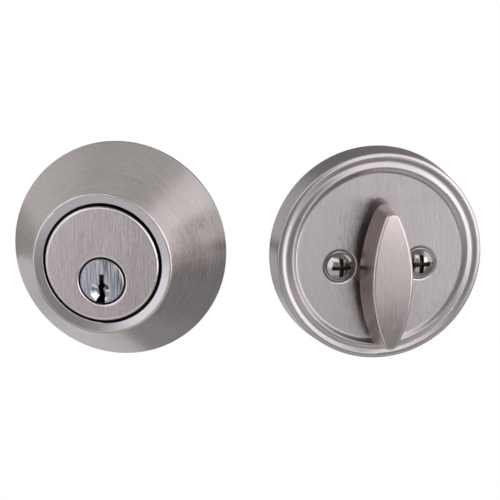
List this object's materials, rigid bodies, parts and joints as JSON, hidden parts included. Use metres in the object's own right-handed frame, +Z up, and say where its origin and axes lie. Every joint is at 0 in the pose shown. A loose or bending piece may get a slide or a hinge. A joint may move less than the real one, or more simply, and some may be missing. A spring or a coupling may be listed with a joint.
{
  "type": "deadbolt door lock",
  "caption": "Single-cylinder deadbolt: tapered key collar, round rose with a lens-shaped thumbturn, and the latch whose bolt a quarter turn throws, in satin nickel.",
  "frame": {"origin": "the tailpiece's axis where it crosses the door's outside face, behind the key plug", "axes": "+Z up, +Y into the door along the tailpiece, -Y out of the door towards the key, -X towards the door's edge"},
  "size_m": [0.2294, 0.0885, 0.0636],
  "materials": {
    "satin_nickel": "satin nickel, circular brushing",
    "satin_face": "satin nickel, upright brushing",
    "plug_chrome": "bright nickel plating",
    "screw_chrome": "bright nickel plating",
    "pin_brass": "turned brass",
    "zinc_plated": "zinc-plated steel",
    "spring_steel": "drawn spring steel",
    "cast_zinc": "die-cast zinc alloy",
    "bolt_steel": "satin-plated steel",
    "hard_steel": "hardened steel"
  },
  "bodies": {
    "lock_frame": {"collar": "satin_nickel", "guard_ring": "zinc_plated", "cylinder_body": "satin_face", "driver_pins": "pin_brass", "pin_springs": "spring_steel", "pin_cover": "pin_brass", "screw_posts": "zinc_plated", "rose": "satin_nickel", "backing_plate": "zinc_plated", "turn_washer": "spring_steel", "mounting_screws": "screw_chrome", "latch_case": "zinc_plated", "latch_tube": "zinc_plated", "latch_plate": "zinc_plated", "faceplate": "satin_nickel"},
    "thumbturn": {"thumbturn": "satin_face", "turn_clip": "spring_steel"},
    "plug": {"plug": "plug_chrome", "key_pins": "pin_brass", "plug_cap": "cast_zinc"},
    "tailpiece": {"tailpiece": "zinc_plated"},
    "cam_hub": {"cam_hub": "cast_zinc"},
    "bolt": {"bolt": "bolt_steel", "bolt_roller": "hard_steel", "bolt_links": "zinc_plated", "link_pins": "hard_steel"}
  },
  "joints": [
    {"name": "thumbturn_turn", "type": "hinge", "parent": "lock_frame", "child": "thumbturn", "pos_m": [0.0734, 0.01, 0], "axis": [-0.3649, 0.9311, 0], "range_deg": [0, 90]},
    {"name": "tailpiece_turn", "type": "hinge", "parent": "lock_frame", "child": "tailpiece", "pos_m": [0, 0, 0], "axis": [0, -1, 0], "range_deg": [0, 90]},
    {"name": "cam_turn", "type": "hinge", "parent": "lock_frame", "child": "cam_hub", "pos_m": [-0.065, 0.0225, 0], "axis": [0, -1, 0], "range_deg": [0, 90]},
    {"name": "bolt_throw", "type": "slide", "parent": "lock_frame", "child": "bolt", "axis": [-1, 0, 0], "range_m": [0, 0.0254]},
    {"name": "plug_turn", "type": "hinge", "parent": "lock_frame", "child": "plug", "pos_m": [0, 0, 0], "axis": [0, -1, 0], "range_deg": [-90, 0]}
  ],
  "couplings": [
    {"joint": "thumbturn_turn", "follows": "bolt_throw", "rad_per_m": 61.842},
    {"joint": "tailpiece_turn", "follows": "bolt_throw", "rad_per_m": 61.842},
    {"joint": "cam_turn", "follows": "bolt_throw", "rad_per_m": 61.842}
  ]
}
